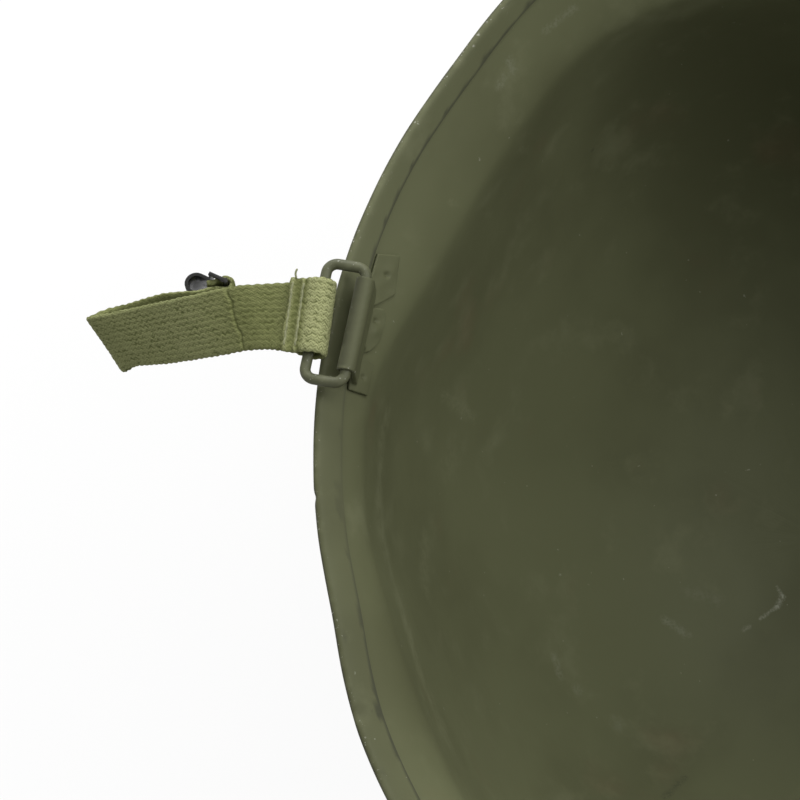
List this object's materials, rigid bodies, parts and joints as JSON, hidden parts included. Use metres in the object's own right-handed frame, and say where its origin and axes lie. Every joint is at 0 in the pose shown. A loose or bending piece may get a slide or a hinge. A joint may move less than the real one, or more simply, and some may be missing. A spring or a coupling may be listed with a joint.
{
  "type": "combat helmet",
  "caption": "Pressed steel helmet shell with a folded rim band, hinged strap bales, a short webbing strap with a hook and a long strap with a buckle.",
  "frame": {"origin": "the lowest point of the crown, on the helmet's middle plane, with the helmet lying on its crown", "axes": "+Z out of the open side, +Y to the front visor, -X to the wearer's right, where the short hook strap is"},
  "size_m": [0.3044, 0.2871, 0.1819],
  "materials": {
    "shell_paint": "semi-matte olive drab paint over pressed steel, faint mottling and rub marks",
    "band_paint": "semi-matte olive drab paint over a folded steel band, small bright chips on its edge",
    "hinge_paint": "semi-matte olive drab paint over thin rolled steel, worn at the barrel's seam",
    "bale_paint": "olive drab paint over steel wire, rubbed bright on the bends",
    "webbing": "olive cotton webbing in a herringbone weave, slightly fuzzy",
    "thread": "light olive waxed sewing thread",
    "blackened_steel": "glossy black paint over stamped steel, a little worn on its edges"
  },
  "bodies": {
    "shell": {"shell": "shell_paint", "rim_band": "band_paint", "right_hinge_plate": "hinge_paint", "left_hinge_plate": "hinge_paint"},
    "right_bale": {"right_bale": "bale_paint"},
    "short_strap": {"short_strap": "webbing", "short_strap_loop_stitches": "thread", "short_strap_hook_stitches": "thread"},
    "hook": {"hook": "blackened_steel"},
    "left_bale": {"left_bale": "bale_paint"},
    "long_strap": {"long_strap": "webbing", "long_strap_loop_stitches": "thread", "strap_tip": "blackened_steel"},
    "buckle": {"buckle_frame": "blackened_steel", "buckle_pin_bar": "blackened_steel"},
    "keeper": {"strap_keeper": "blackened_steel"}
  },
  "joints": [
    {"name": "right_bale_swing", "type": "hinge", "parent": "shell", "child": "right_bale", "pos_m": [-0.10625, 0.03997, 0.17697], "axis": [0.2823, 0.9524, -0.1153], "range_deg": [0, 150]},
    {"name": "short_strap_swing", "type": "hinge", "parent": "right_bale", "child": "short_strap", "pos_m": [-0.11584, 0.04281, 0.17697], "axis": [0.2823, 0.9524, -0.1153], "range_deg": [-25, 100]},
    {"name": "hook_swing", "type": "hinge", "parent": "short_strap", "child": "hook", "pos_m": [-0.14512, 0.06368, 0.12669], "axis": [-0.092, -0.1901, -0.9774], "range_deg": [0, 140]},
    {"name": "left_bale_swing", "type": "hinge", "parent": "shell", "child": "left_bale", "pos_m": [0.10625, 0.03997, 0.17697], "axis": [0.2823, -0.9524, 0.1153], "range_deg": [0, 150]},
    {"name": "long_strap_swing", "type": "hinge", "parent": "left_bale", "child": "long_strap", "pos_m": [0.11584, 0.04281, 0.17697], "axis": [0.2823, -0.9524, 0.1153], "range_deg": [0, 170]},
    {"name": "buckle_swing", "type": "hinge", "parent": "long_strap", "child": "buckle", "pos_m": [0.11951, 0.03043, 0.06572], "axis": [0.2823, -0.9524, 0.1153], "range_deg": [-60, 60]},
    {"name": "keeper_slide", "type": "slide", "parent": "long_strap", "child": "keeper", "axis": [-0.0328, 0.1106, 0.9933], "range_m": [-0.014, 0.004]}
  ]
}
